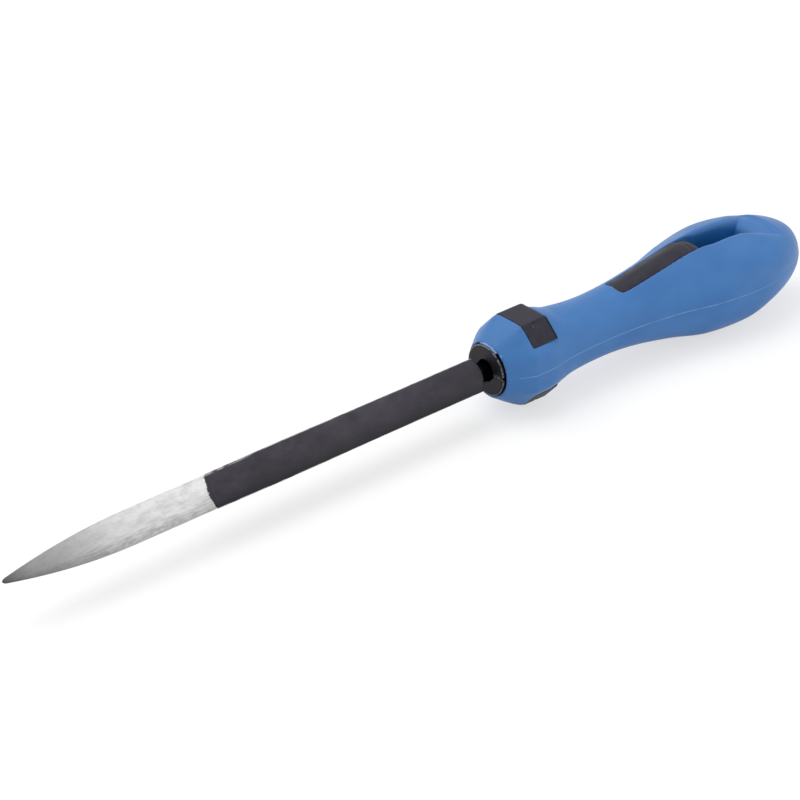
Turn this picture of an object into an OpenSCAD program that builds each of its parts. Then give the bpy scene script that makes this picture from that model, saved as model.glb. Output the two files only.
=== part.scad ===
// Triangular scraper: a forged three-edged blade driven into a two-component handle with a hang loop.
// X runs along the tool with the point towards -X and the loop towards +X; +Z is the panel side.
// The origin lies midway along the tool, on its centre plane, at the level of its lowest point.

/* [Blade] */
// Exposed length of the blade, from the nose of the handle to the point
blade_len = 200; // [160:5:260]
// Width of one face of the three-edged section
face_w = 12.4; // [10:0.1:13.5]
// Flat left on the three corners of the black shank
corner_land = 0.3; // [0.1:0.05:0.3]
// Length of the bright ground part, measured from the point
ground_len = 80; // [60:1:110]
// Depth of the grinding step at the border of the bright part
grind_depth = 0.16; // [0.16:0.01:0.3]
// Length over which the three faces sweep in to the point
leaf_len = 48; // [30:1:55]
// Distance from the axis to each face at the very point
tip_apothem = 0.3; // [0.15:0.05:0.6]
// Length of the conical shoulder at the rear of the shank
shoulder_len = 2.4; // [1.5:0.1:3.5]
// Stretch of bare tang between the shoulder and the ring
shoulder_gap = 3.7; // [3:0.1:5]
// Share of the shank's radius left at the end of the shoulder
shoulder_end = 0.5; // [0.45:0.05:0.7]
// Length of the tang inside the handle
tang_len = 58; // [40:1:64]
// Width of the tang at the nose of the handle
tang_w = 6.2; // [5:0.1:6.3]
// Thickness of the tang at the nose of the handle
tang_t = 4.6; // [3.5:0.1:4.7]
// Share of the tang section left at its end
tang_taper = 0.5; // [0.3:0.05:0.8]

/* [Nose collet] */
// Diameter of the dark ring at the nose
ring_d = 18.8; // [17:0.1:18.9]
// Thickness of the ring's flange
ring_t = 3; // [2:0.5:4]
// Stretch by which the face of the ring stands in front of the nose
ring_proud = 1.2; // [0.8:0.1:1.6]
// Width of the bevel round the face of the ring
ring_bevel = 0.7; // [0.4:0.1:1]
// Length of that bevel along the tool
bevel_len = 0.4; // [0.2:0.1:0.8]
// Diameter of the collet body behind the flange
collet_d = 15.2; // [13:0.1:16]
// Depth of the collet in the handle
collet_len = 14; // [10.5:0.5:18]
// Bore that lets the tang through
collet_bore = 8; // [7.9:0.1:9.5]
// Chamfer of the bore
bore_chamfer = 0.3; // [0.1:0.1:0.6]
// Width of the slits between the jaws
slit_w = 0.6; // [0.5:0.1:1.5]
// Depth of the slits
slit_len = 10; // [6:0.5:12]
// Number of jaws
jaws = 2; // [2:1:6]

/* [Octagonal head] */
// Distance across the flats of the head
head_flats = 31; // [29:0.1:33]
// Start of the roll-stop pads behind the nose
pad_x = 10.2; // [10:0.1:12]
// Length of the roll-stop pads along the tool
pad_len = 11.8; // [9:0.2:13]
// Level above the axis down to which the pads wrap the head
pad_level = 9; // [8.4:0.1:10]
// Radius of the rounded rear edge of the pads
pad_round = 3; // [2:0.5:4]
// Depth to which that edge rolls down
pad_drop = 1; // [0.5:0.1:1.4]
// Radius of the soft lip around the ring
lip_r = 10.1; // [10.1:0.05:10.8]
// End of the faceted chamfer in front of the head
chamfer_x = 9.6; // [8.5:0.1:10]
// Bulge of the faceted chamfer, 1 is straight
chamfer_bulge = 1.36; // [1.1:0.02:1.6]
// Start of the stretch where the octagon flows into the oval grip
flow_x = 14; // [12:0.5:15]
// Length of that stretch
flow_len = 10; // [8:0.5:12]

/* [Grip] */
// Length of the handle
handle_len = 141; // [136:0.5:145]
// Place of the neck behind the nose
neck_x = 22; // [20:0.5:24]
// Width of the neck
neck_w = 28.4; // [27:0.2:31]
// Height of the neck above the axis
neck_rise = 14.3; // [13:0.1:15]
// Depth of the neck below the axis
neck_drop = 13.4; // [12.5:0.1:15]
// Place of the waist behind the nose
waist_x = 46; // [42:0.5:50]
// Width of the waist
waist_w = 25.4; // [24:0.2:30]
// Height of the waist above the axis
waist_rise = 10.3; // [9.8:0.1:12]
// Depth of the waist below the axis
waist_drop = 10.7; // [10:0.1:13]
// Fullness of the upper half of the section at the waist, 2 is an ellipse
waist_full = 1.92; // [1.8:0.02:2.2]
// Place of the section under the middle of the label panel
crest_x = 76; // [73:0.5:79]
// Width there
crest_w = 32.6; // [31:0.2:35]
// Height above the axis there
crest_rise = 14.6; // [13.5:0.1:15.5]
// Depth below the axis there
crest_drop = 14.7; // [13.5:0.1:16]
// Fullness of the upper half there, low for a roof-like crown
crest_full = 1.48; // [1.4:0.02:1.8]
// Distance of the palm swell from the rear end
swell_back = 35; // [31:0.5:38]
// Width of the palm swell
swell_w = 44.2; // [40:0.2:48]
// Height of the palm swell above the axis
swell_rise = 15.6; // [14.8:0.1:17]
// Depth of the palm swell below the axis
swell_drop = 17.9; // [16:0.1:20]
// Fullness of the upper half of the section at the palm swell
swell_full = 2.05; // [1.9:0.05:2.3]
// Width towards which the sides run behind the swell
tail_w = 42.6; // [40:0.2:45]
// Height towards which the crown runs behind the swell
tail_rise = 12.9; // [12:0.1:14]
// Depth towards which the belly runs behind the swell
tail_drop = 13.4; // [12:0.1:15]
// Fullness of the upper half of the section towards the rear
tail_full = 2.2; // [2:0.05:2.4]
// Length of the rounding that closes the rear
close_len = 37; // [33:0.5:39]
// Fullness of the upper half of the section at the neck
neck_full = 2; // [1.9:0.05:2.4]
// Fullness of the lower half of the section
full_bottom = 2.3; // [2:0.05:2.8]

/* [Hang hole] */
// Width of the hole across the handle at mid height
hole_w = 10.2; // [8:0.2:11]
// Radius of the rolled rims along both sides of the hole
rim_roll = 3; // [1.5:0.1:4]
// Length of the hole at mid height
hole_len = 20; // [16:0.2:21]
// Length of the loop behind the hole
loop_len = 21.8; // [20:0.2:24]
// Start of the widening in front of the foremost point
widen_lead = 6; // [4:0.5:6.5]
// Length over which the hole widens from the panel to its full width
widen_len = 5; // [4:0.5:8]
// Run of the rounded bar in front of the hole
front_roll = 7.8; // [7.2:0.1:9]
// Run of the rounded bar behind the hole
rear_roll = 9.5; // [7:0.5:10]
// Height of the crease between the rounded bars and the grip
rim_crease = 0.3; // [0.1:0.1:0.8]
// Soft lining of the hole
hole_liner = 2.2; // [1.5:0.1:3]

/* [Label panel] */
// Start of the bare label panel behind the nose
panel_x = 57; // [54:0.5:64]
// Width of the label panel
panel_w = 9.8; // [8:0.2:10.4]
// Corner radius at the front of the panel
panel_r = 2.2; // [1:0.1:3]
// Depth of the panel below the crown of the grip
panel_sink = 0.25; // [0.1:0.05:0.5]

/* [Hard core] */
// Diameter of the rod through the waist
rod_d = 15.6; // [14:0.2:16.4]
// Hard core left behind the end of the tang
tang_cover = 8; // [5:0.5:10]
// Start of the flat paddle behind the nose
paddle_x = 62; // [58:0.5:66]
// Thickness of the paddle in the palm swell
paddle_t = 11; // [8:0.5:12]
// Soft cover beside the paddle
paddle_cover = 4.6; // [4:0.1:6]
// Soft cover behind the paddle
rear_cover = 9; // [8:0.5:11]
// Soft cover around the octagonal collar
collar_cover = 3; // [2.8:0.1:3.4]
// Stretch by which the collar starts in front of the pads
collar_lead = 1; // [0.5:0.1:1.4]
// Clearance between the ring and the soft lip
ring_gap = 0.25; // [0.2:0.05:0.6]

/* [Hidden] */
$fn = 96;
// Overlap of joined bodies and overrun of cuts
lap = 0.5;
// Overlap of the core's sleeve over the bore of the lip
sleeve_lap = 0.1;
// Stretch by which the cutting copies of pads and panel stand out of the grip
lift = 3;
face_a = face_w / (2 * sqrt(3));
corner_r = face_w / sqrt(3);
bright_a = face_a - grind_depth;
leaf_h = bright_a - tip_apothem;
leaf_r = (leaf_len * leaf_len + leaf_h * leaf_h) / (2 * leaf_h);
land_r = corner_r - corner_land;
shank_len = blade_len - ground_len;
shank_end = -ring_proud - shoulder_gap;
head_a = head_flats / 2;
bore_r = ring_d / 2 + ring_gap;
close_x = handle_len - close_len;
hole_end = handle_len - loop_len;
hole_x = hole_end - hole_len;
front_bar = hole_x - front_roll;
rear_bar = hole_end + rear_roll;
panel_end = hole_x + lap;
rim_y = hole_w / 2 + rim_roll;
rim_top = oval_z(rim_y, swell_rise, swell_full) + lap;
rim_under = oval_z(rim_y, swell_drop, full_bottom) + lap;
rod_end = max(tang_len + tang_cover, paddle_x + tang_cover / 2);
around = 48;
// Sections of the grip: distance behind the nose, half width, rise, drop and fullness of the upper half
head = [flow_x - 2 * lap, head_a, head_a, head_a, neck_full];
neck = [neck_x, neck_w / 2, neck_rise, neck_drop, neck_full];
waist = [waist_x, waist_w / 2, waist_rise, waist_drop, waist_full];
crest = [crest_x, crest_w / 2, crest_rise, crest_drop, crest_full];
swell = [handle_len - swell_back, swell_w / 2, swell_rise, swell_drop, swell_full];
tail = [handle_len, tail_w / 2, tail_rise, tail_drop, tail_full];
// The sections with the ones between them, given as shares of the way; the crown peaks before the swell
stations = [
    head,
    neck,
    between(neck, waist, [0.333, 0.621, 0.56, 0.797, 0]),
    waist,
    between(waist, crest, [0.467, 0.245, 0.315, 0.292, 0.6]),
    crest,
    between(crest, swell, [0.467, 0.674, 1.55, 0.94, 0.245]),
    swell,
    between(swell, tail, [0.353, 0, 0.372, 0.468, 1]),
    tail
];
// Fullness of the rounding at the rear in width, rise and drop
close_p = [2.1, 3, 1.9];
skin_x = concat(
    steps(0, chamfer_x, 6),
    steps(flow_x, flow_x + flow_len, 8),
    [for (i = [1 : 21]) flow_x + flow_len + i * (close_x - flow_x - flow_len) / 22],
    [for (t = [0 : 8 : 88]) close_x + close_len * sin(t)]
);
lowest = skin_r(270, front_bar);

// Even steps from a to b
function steps(a, b, n) = [for (i = [0 : n]) a + i * (b - a) / n];

// Section between two sections, at the shares k of the way
function between(a, b, k) = [for (c = [0 : 4]) a[c] + (b[c] - a[c]) * k[c]];

// Slope of column c of the stations at row i
function slope(i, c) =
    let (a = max(i - 1, 0), b = min(i + 1, len(stations) - 1))
    (stations[b][c] - stations[a][c]) / (stations[b][0] - stations[a][0]);

// Row of the station in front of x
function row(x) = max([for (i = [0 : len(stations) - 2]) if (x >= stations[i][0] || i == 0) i]);

// Smooth curve through column c of the stations
function curve(x, c) =
    let (i = row(x), d = stations[i + 1][0] - stations[i][0], t = (x - stations[i][0]) / d)
    (2 * t * t * t - 3 * t * t + 1) * stations[i][c]
    + (t * t * t - 2 * t * t + t) * d * slope(i, c)
    + (3 * t * t - 2 * t * t * t) * stations[i + 1][c]
    + (t * t * t - t * t) * d * slope(i + 1, c);

// Rounding factor of the rear end
function closing(x, p) =
    let (u = max(0, min(1, (x - close_x) / close_len)))
    pow(max(0, 1 - pow(u, p)), 1 / p);

// Half width, rise and drop of the grip at x
function half_sizes(x) = [for (c = [1 : 3]) curve(x, c) * closing(x, close_p[c - 1])];

// Radius of an oval with different upper and lower halves
function oval_r(t, s, full) =
    let (up = sin(t) >= 0, p = up ? full : full_bottom, h = up ? s[1] : s[2])
    1 / pow(pow(abs(cos(t)) / s[0], p) + pow(abs(sin(t)) / h, p), 1 / p);

// Height of the skin over the point y of the palm swell's section
function oval_z(y, h, full) = h * pow(1 - pow(2 * y / swell_w, full), 1 / full);

// Radius of an octagon with flats towards the four sides
function octagon_r(t, a) = a / cos(t - 45 * round(t / 45));

// Radius of the soft skin at angle t and distance x behind the nose
function skin_r(t, x) =
    let (
        u = min(1, x / chamfer_x),
        v = 1 - pow(1 - u, chamfer_bulge),
        f = max(0, min(1, (x - flow_x) / flow_len)),
        g = f * f * (3 - 2 * f),
        head = lip_r * (1 - v) + octagon_r(t, head_a) * v
    )
    g == 0 ? head : head * (1 - g) + oval_r(t, half_sizes(x), curve(x, 4)) * g;

// Outline of the rounded bar at x with a run towards the hole, as deep as the grip allows
function bar(x, run) =
    let (s = half_sizes(x))
    [for (t = [-86 : 8.6 : 86]) [x + run * cos(t), ((t > 0 ? s[1] : s[2]) - rim_crease) * sin(t)]];

// Moves the tool from nose-at-zero to the origin of the part
module place() {
    translate([(blade_len - handle_len) / 2, 0, lowest])
        children();
}

// Three-edged prism from x back towards the point, one corner up
module three_edge(x, a, length) {
    translate([x, 0, 0])
        rotate([0, -90, 0])
            cylinder(r = 2 * a, h = length, $fn = 3);
}

// Solid of revolution about the tool axis, profile in [x, r]
module turned(profile) {
    rotate([0, 90, 0])
        rotate_extrude()
            polygon([for (p = profile) [p[1], p[0]]]);
}

// Round rod about the tool axis
module rod(x, d, length) {
    translate([x, 0, 0])
        rotate([0, 90, 0])
            cylinder(d = d, h = length);
}

// Octagonal bar with flats towards the four sides
module octagon_bar(x, a, length) {
    translate([x, 0, 0])
        rotate([0, 90, 0])
            rotate([0, 0, 22.5])
                cylinder(r = a / cos(22.5), h = length, $fn = 8);
}

// Tapered tang, from inside the shank into the handle
module tang() {
    x = shank_end - lap;
    w = tang_w / 2;
    t = tang_t / 2;
    k = tang_taper;
    polyhedron(
        points = [
            [x, -w, -t], [x, w, -t], [x, w, t], [x, -w, t],
            [tang_len, -w * k, -t * k], [tang_len, w * k, -t * k],
            [tang_len, w * k, t * k], [tang_len, -w * k, t * k]
        ],
        faces = [[0, 1, 2, 3], [7, 6, 5, 4], [4, 5, 1, 0], [5, 6, 2, 1], [6, 7, 3, 2], [7, 4, 0, 3]]
    );
}

// Body of one swept face, its crest tangent to the straight ground face
module leaf_face(turn) {
    rotate([turn, 0, 0])
        translate([leaf_len - blade_len, 0, leaf_r - bright_a])
            rotate([90, 0, 0])
                cylinder(r = leaf_r, h = 3 * face_w, center = true, $fn = 360);
}

module blade() {
    color([0.3, 0.3, 0.32])
        place()
            union() {
                intersection() {
                    three_edge(0, face_a, shank_len);
                    turned([
                        [-blade_len, 0], [-blade_len, land_r], [shank_end - shoulder_len, land_r],
                        [shank_end, land_r * shoulder_end], [shank_end, 0]
                    ]);
                }
                three_edge(lap - shank_len, bright_a, ground_len - leaf_len + lap);
                intersection() {
                    translate([-blade_len, -face_w, -face_w])
                        cube([leaf_len, 2 * face_w, 2 * face_w]);
                    leaf_face(0);
                    leaf_face(120);
                    leaf_face(240);
                }
                tang();
            }
}

module tang_collet() {
    rim = ring_d / 2;
    bore = collet_bore / 2;
    front = -ring_proud;
    color([0.2, 0.2, 0.22])
        place()
            difference() {
                turned([
                    [front, bore + bore_chamfer], [front, rim - ring_bevel], [front + bevel_len, rim],
                    [ring_t, rim], [ring_t, collet_d / 2], [collet_len, collet_d / 2],
                    [collet_len, bore], [front + bore_chamfer, bore]
                ]);
                for (i = [0 : jaws - 1])
                    rotate([i * 360 / jaws, 0, 0])
                        translate([front - lap, 0, -slit_w / 2])
                            cube([slit_len - front + lap, ring_d, slit_w]);
            }
}

// Hang hole between two rounded bars, grown by g along and across the handle
module hang_hole(g) {
    h = 2 * swell_drop;
    narrow = panel_w / 2 + g;
    wide = rim_y + g + lap;
    front = bar(front_bar - g, front_roll);
    rear = bar(rear_bar + g, -rear_roll);
    n = len(rear) - 1;
    wall = concat(
        [[rim_y, -h]],
        [for (t = [90 : -15 : 0]) [rim_y - rim_roll * cos(t), rim_roll * (1 - sin(t)) - rim_under]],
        [for (t = [0 : 15 : 90]) [rim_y - rim_roll * cos(t), rim_top - rim_roll * (1 - sin(t))]],
        [[rim_y, h]]
    );
    plan = [
        [front_bar - g - lap, narrow],
        [hole_x - widen_lead, narrow],
        [hole_x - widen_lead + 0.6 * widen_len, narrow + 0.9 * (wide - narrow)],
        [hole_x - widen_lead + widen_len, wide],
        [rear_bar + g - lap, wide]
    ];
    intersection() {
        rotate([90, 0, 0])
            linear_extrude(height = 4 * rim_y, center = true)
                polygon(concat(
                    front,
                    [[front_bar - g, h], [rear_bar + g, h]],
                    [for (i = [n : -1 : 0]) rear[i]],
                    [[rear_bar + g, -h], [front_bar - g, -h]]
                ));
        linear_extrude(height = 4 * h, center = true)
            polygon(concat(plan, [for (i = [len(plan) - 1 : -1 : 0]) [plan[i][0], -plan[i][1]]]));
        rotate([90, 0, 90])
            linear_extrude(height = 2 * handle_len)
                polygon(concat(
                    [for (p = wall) [p[0] + g, p[1]]],
                    [for (i = [len(wall) - 1 : -1 : 0]) [-wall[i][0] - g, wall[i][1]]]
                ));
    }
}

// Both roll-stop pads out to apothem a
module pad_blocks(a) {
    intersection() {
        octagon_bar(pad_x, a, pad_len);
        for (s = [-1, 1])
            translate([pad_x - lap, -2 * a, s > 0 ? pad_level : -pad_level - a])
                cube([pad_len + 2 * lap, 4 * a, a]);
    }
}

// Slab between two opposite flats of the head, its rear edges rolled down
module rolled_slab(turn) {
    sweep = acos(1 - pad_drop / pad_round);
    start = pad_x + pad_len - pad_round * sin(sweep);
    arc = [for (k = [0 : 5]) let (t = k * sweep / 5)
        [start + pad_round * sin(t), head_a - pad_round * (1 - cos(t))]];
    rotate([90 + turn, 0, 0])
        linear_extrude(height = 3 * head_flats, center = true)
            polygon(concat(
                [[pad_x - lap, -head_a], [pad_x - lap, head_a]],
                arc,
                [for (i = [5 : -1 : 0]) [arc[i][0], -arc[i][1]]]
            ));
}

// The pads as they show, flush with the head in front and rolled down behind
module pads() {
    intersection() {
        pad_blocks(head_a);
        rolled_slab(0);
        rolled_slab(45);
        rolled_slab(-45);
    }
}

// Upright block behind the label panel, rounded at its front corners
module panel_block() {
    root = paddle_t / 4;
    tall = 2 * swell_rise;
    translate([0, 0, root]) {
        translate([panel_x + panel_r, -panel_w / 2, 0])
            cube([panel_end - panel_x - panel_r, panel_w, tall]);
        translate([panel_x, panel_r - panel_w / 2, 0])
            cube([2 * panel_r, panel_w - 2 * panel_r, tall]);
        for (s = [-1, 1])
            translate([panel_x + panel_r, s * (panel_w / 2 - panel_r), 0])
                cylinder(r = panel_r, h = tall);
    }
}

// Rib of the core whose crowned face is the label panel
module panel_rib() {
    intersection() {
        panel_block();
        skin(steps(panel_x - lift, panel_end + lift, 16), panel_sink);
    }
}

// Flat paddle inside the palm swell
module paddle() {
    xs = concat(steps(paddle_x, close_x - lap, 10), steps(close_x + lap, handle_len - rear_cover, 6));
    linear_extrude(height = paddle_t, center = true)
        polygon(concat(
            [for (x = xs) [x, half_sizes(x)[0] - paddle_cover]],
            [for (i = [len(xs) - 1 : -1 : 0]) [xs[i], paddle_cover - half_sizes(xs[i])[0]]]
        ));
}

// Sleeve, collar, rod and paddle of the hard core
module core_body() {
    rod(ring_t, 2 * (bore_r + sleeve_lap), pad_x - ring_t);
    octagon_bar(pad_x - collar_lead, head_a - collar_cover, pad_len);
    rod(pad_x - lap, rod_d, rod_end - pad_x + lap);
    difference() {
        paddle();
        hang_hole(hole_liner);
    }
}

module handle_core() {
    color([0.24, 0.24, 0.26])
        place()
            difference() {
                union() {
                    core_body();
                    pads();
                    panel_rib();
                }
                hang_hole(0);
                rod(ring_t - lap, collet_d, collet_len - ring_t + lap);
                tang();
            }
}

// Skin of the grip over the stretch xs, set in by a depth and closed at both ends
module skin(xs, inset) {
    n = len(xs);
    points = concat(
        [for (x = xs) for (k = [0 : around - 1])
            let (t = k * 360 / around, r = skin_r(t, x) - inset) [x, r * cos(t), r * sin(t)]],
        [[xs[0], 0, 0], [xs[n - 1], 0, 0]]
    );
    sides = [for (i = [0 : n - 2]) for (k = [0 : around - 1])
        let (a = i * around + k, b = i * around + (k + 1) % around) [a, b, b + around, a + around]];
    polyhedron(
        points = points,
        faces = concat(
            [for (q = sides) [q[0], q[2], q[1]]],
            [for (q = sides) [q[0], q[3], q[2]]],
            [for (k = [0 : around - 1]) [n * around, k, (k + 1) % around]],
            [for (k = [0 : around - 1])
                [n * around + 1, (n - 1) * around + (k + 1) % around, (n - 1) * around + k]]
        )
    );
}

module soft_grip() {
    color([0.31, 0.47, 0.67])
        place()
            difference() {
                skin(skin_x, 0);
                rod(-lap, 2 * bore_r, ring_t + 2 * lap);
                core_body();
                pad_blocks(head_a + lift);
                panel_block();
                hang_hole(0);
            }
}

blade();
tang_collet();
handle_core();
soft_grip();
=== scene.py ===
import bpy, bmesh, math
import numpy as np
import openvdb
from mathutils import Matrix, Vector, noise


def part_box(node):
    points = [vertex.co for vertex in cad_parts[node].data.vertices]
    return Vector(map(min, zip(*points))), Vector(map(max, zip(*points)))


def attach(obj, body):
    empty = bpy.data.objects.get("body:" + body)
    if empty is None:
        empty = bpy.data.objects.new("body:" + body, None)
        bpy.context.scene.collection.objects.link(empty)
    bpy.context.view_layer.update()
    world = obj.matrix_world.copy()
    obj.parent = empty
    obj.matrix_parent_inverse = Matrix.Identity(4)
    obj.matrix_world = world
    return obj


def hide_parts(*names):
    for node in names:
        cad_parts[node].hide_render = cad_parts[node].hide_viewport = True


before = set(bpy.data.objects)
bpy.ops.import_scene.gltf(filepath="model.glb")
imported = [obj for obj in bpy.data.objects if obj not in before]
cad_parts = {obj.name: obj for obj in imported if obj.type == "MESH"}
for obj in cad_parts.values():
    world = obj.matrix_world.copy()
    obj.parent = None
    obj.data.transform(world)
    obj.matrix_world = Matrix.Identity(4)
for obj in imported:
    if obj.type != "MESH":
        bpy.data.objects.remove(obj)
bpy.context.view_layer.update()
print("frame loaded:", ", ".join(sorted(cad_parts)))

# pieces are drawn in millimetres from the nose of the handle: x runs to the loop, z to the panel side
ringProud = 1.2                                          # the ring's face stands this far in front of the nose
noseLow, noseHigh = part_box("tang_collet")
noseAt = Vector((noseLow.x + ringProud / 1000, 0, (noseLow.z + noseHigh.z) / 2))
intoFrame = Matrix.Translation(noseAt) @ Matrix.Scale(0.001, 4)


def addPiece(name, mesh, material, node):
    mesh.transform(intoFrame)
    mesh.materials.append(material)
    mesh.shade_smooth()
    piece = bpy.data.objects.new(name, mesh)
    bpy.context.scene.collection.objects.link(piece)
    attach(piece, "root")
    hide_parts(node)
    print(name, "made,", len(mesh.polygons), "faces")
    return piece


# camera where the photograph was taken from, told from the nose of the handle
viewpoint = {
    "turn": -37.78, "height": 29.32, "roll": -2.81,   # degrees
    "away": 1357.6, "aside": 29.94, "above": 10.47,   # mm, in the camera's own axes
    "lens": 179.2,
}


def setCamera(v):
    a, e, r = (math.radians(v[k]) for k in ("turn", "height", "roll"))
    back = Vector((math.sin(a) * math.cos(e), -math.cos(a) * math.cos(e), math.sin(e)))
    level = Vector((math.cos(a), math.sin(a), 0))
    upright = back.cross(level)
    right = math.cos(r) * level + math.sin(r) * upright
    up = math.cos(r) * upright - math.sin(r) * level
    spot = v["away"] * back - v["aside"] * right - v["above"] * up
    cam = bpy.data.objects.new("camera", bpy.data.cameras.new("camera"))
    cam.data.lens, cam.data.sensor_width = v["lens"], 36
    cam.data.clip_start, cam.data.clip_end = 0.05, 50
    turn = Matrix((right, up, back)).transposed().to_4x4()
    cam.matrix_world = Matrix.Translation(noseAt + spot / 1000) @ turn
    bpy.context.scene.collection.objects.link(cam)
    bpy.context.scene.camera = cam


setCamera(viewpoint)
print("camera set")


# shader helpers: a colour as seen on screen, a node with its values, and a socket fed by a link or a value
def seen(*rgb):
    return tuple(c / 255 / 12.92 if c < 10.3 else ((c / 255 + 0.055) / 1.055) ** 2.4 for c in rgb) + (1,)


def feed(tree, socket, value):
    if isinstance(value, bpy.types.NodeSocket):
        tree.links.new(value, socket)
    else:
        socket.default_value = value


def put(tree, kind, settings=None, **inputs):
    n = tree.nodes.new(kind)
    for key, value in (settings or {}).items():
        setattr(n, key, value)
    for key, value in inputs.items():
        feed(tree, n.inputs[key.replace("_", " ")], value)
    return n


def mathOf(tree, operation, a, b=0.0, c=0.0):
    n = put(tree, "ShaderNodeMath", {"operation": operation})
    for socket, value in zip(n.inputs, (a, b, c)):
        feed(tree, socket, value)
    return n.outputs[0]


def times(tree, a, b):
    return mathOf(tree, "MULTIPLY", a, b)


def marked(tree, name):
    return put(tree, "ShaderNodeAttribute", {"attribute_name": name}).outputs["Fac"]


def mixOf(tree, mask, a, b, mode="MIX"):
    n = put(tree, "ShaderNodeMix", {"data_type": "RGBA", "blend_type": mode})
    feed(tree, n.inputs[0], mask)
    feed(tree, n.inputs[6], a)
    feed(tree, n.inputs[7], b)
    return n.outputs[2]


def blend(tree, mask, a, b):
    n = put(tree, "ShaderNodeMix", {"data_type": "FLOAT"})
    for i, v in zip((0, 2, 3), (mask, a, b)):
        feed(tree, n.inputs[i], v)
    return n.outputs[0]


def between(tree, value, low, high, toLow=0.0, toHigh=1.0):
    n = put(tree, "ShaderNodeMapRange", {"interpolation_type": "SMOOTHSTEP"})
    for i, v in enumerate((value, low, high, toLow, toHigh)):
        feed(tree, n.inputs[i], v)
    return n.outputs[0]


def newGroup(name, takes, gives):
    tree = bpy.data.node_groups.new(name, "ShaderNodeTree")
    for key, kind, default in takes:
        s = tree.interface.new_socket(key, in_out="INPUT", socket_type=kind)
        if default is not None:
            s.default_value = default
    for key, kind in gives:
        tree.interface.new_socket(key, in_out="OUTPUT", socket_type=kind)
    return tree, tree.nodes.new("NodeGroupInput"), tree.nodes.new("NodeGroupOutput")


def use(tree, group, **inputs):
    n = tree.nodes.new("ShaderNodeGroup")
    n.node_tree = group
    for key, value in inputs.items():
        feed(tree, n.inputs[key], value)
    return n.outputs[0]


# millimetres from the nose, so that every effect below is given in real sizes
def makePlaceGroup():
    tree, _, out = newGroup("placeOnTool", [], [("Place", "NodeSocketVector")])
    coord = tree.nodes.new("ShaderNodeTexCoord")
    n = put(tree, "ShaderNodeMapping", Vector=coord.outputs["Object"],
            Location=-noseAt * 1000, Scale=(1000,) * 3)
    feed(tree, out.inputs[0], n.outputs[0])
    return tree


# cloudy patches of a given size, drawn out along the tool by the stretch
def makePatchGroup():
    tree, inp, out = newGroup("patches", [
        ("Place", "NodeSocketVector", None), ("Size", "NodeSocketFloat", 5.0),
        ("Stretch", "NodeSocketFloat", 1.0), ("Detail", "NodeSocketFloat", 3.0),
        ("From", "NodeSocketFloat", 0.35), ("To", "NodeSocketFloat", 0.65),
    ], [("Mask", "NodeSocketFloat")])
    size = inp.outputs["Size"]
    long = times(tree, size, inp.outputs["Stretch"])
    scale = put(tree, "ShaderNodeCombineXYZ", X=long, Y=size, Z=size)
    shrunk = put(tree, "ShaderNodeVectorMath", {"operation": "DIVIDE"})
    feed(tree, shrunk.inputs[0], inp.outputs["Place"])
    feed(tree, shrunk.inputs[1], scale.outputs[0])
    cloud = put(tree, "ShaderNodeTexNoise", Vector=shrunk.outputs[0], Scale=1.0, Detail=inp.outputs["Detail"])
    feed(tree, out.inputs[0], between(tree, cloud.outputs[0], inp.outputs["From"], inp.outputs["To"]))
    return tree


# fine moulded or cast skin: two sizes of pores in one height
def makeGrainGroup(patches):
    tree, inp, out = newGroup("fineGrain", [
        ("Place", "NodeSocketVector", None), ("Size", "NodeSocketFloat", 0.3),
        ("Stretch", "NodeSocketFloat", 1.0),
    ], [("Height", "NodeSocketFloat")])
    place, size, stretch = (inp.outputs[k] for k in ("Place", "Size", "Stretch"))
    coarse = use(tree, patches, Place=place, Size=size, Stretch=stretch, From=0.2, To=0.8)
    broad = times(tree, size, 5.0)
    wide = use(tree, patches, Place=place, Size=broad, Stretch=stretch, From=0.2, To=0.8)
    feed(tree, out.inputs[0], mathOf(tree, "ADD", coarse, times(tree, wide, 0.8)))
    return tree


# pale rubbing on edges: the mesh carries how near an edge a point is, and patches break it up
def makeRubGroup(patches):
    tree, inp, out = newGroup("rubbedEdges", [
        ("Place", "NodeSocketVector", None), ("Size", "NodeSocketFloat", 1.5),
        ("Cover", "NodeSocketFloat", 0.5),
    ], [("Mask", "NodeSocketFloat")])
    broken = use(tree, patches, Place=inp.outputs["Place"], Size=inp.outputs["Size"], From=0.3, To=0.6)
    level = mathOf(tree, "ADD", marked(tree, "rub"), inp.outputs["Cover"])
    level = mathOf(tree, "SUBTRACT", level, 1.0)
    feed(tree, out.inputs[0], times(tree, between(tree, level, 0.0, 0.5), broken))
    return tree


placeGroup = makePlaceGroup()
patchGroup = makePatchGroup()
grainGroup = makeGrainGroup(patchGroup)
rubGroup = makeRubGroup(patchGroup)


def newFinish(name):
    mat = bpy.data.materials.new(name)
    mat.use_nodes = True
    tree = mat.node_tree
    return mat, tree, tree.nodes["Principled BSDF"], use(tree, placeGroup)


def bumpOf(tree, shader, height, depth, strength=1.0):
    n = put(tree, "ShaderNodeBump", Strength=strength, Distance=depth / 1000, Height=height)
    feed(tree, shader.inputs["Normal"], n.outputs[0])


rubberLook = {
    "deep": seen(58, 116, 181), "light": seen(66, 124, 189), "rubbed": seen(150, 186, 226),
    # the last colour in this row is painted shade for the inside of the hang hole
    "seam": seen(118, 165, 216), "paintedShade": seen(0, 99, 165),
    # sizes of the patches in mm, and how strongly each one shows
    "cloudSize": 11.0, "fleckSize": 0.7, "fleckShare": 0.06, "rubSize": 1.2, "rubShare": 0.8, "handledSize": 17.0,
    "seamSize": 2.2, "seamSwing": 0.4, "seamLeast": 0.6, "seamFade": (102, 124),
    "dust": 0.24, "dustRough": 0.35, "gloss": 0.4, "roughness": (0.46, 0.58),
    "grainSize": 0.16, "grainDepth": 0.012,
}


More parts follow.
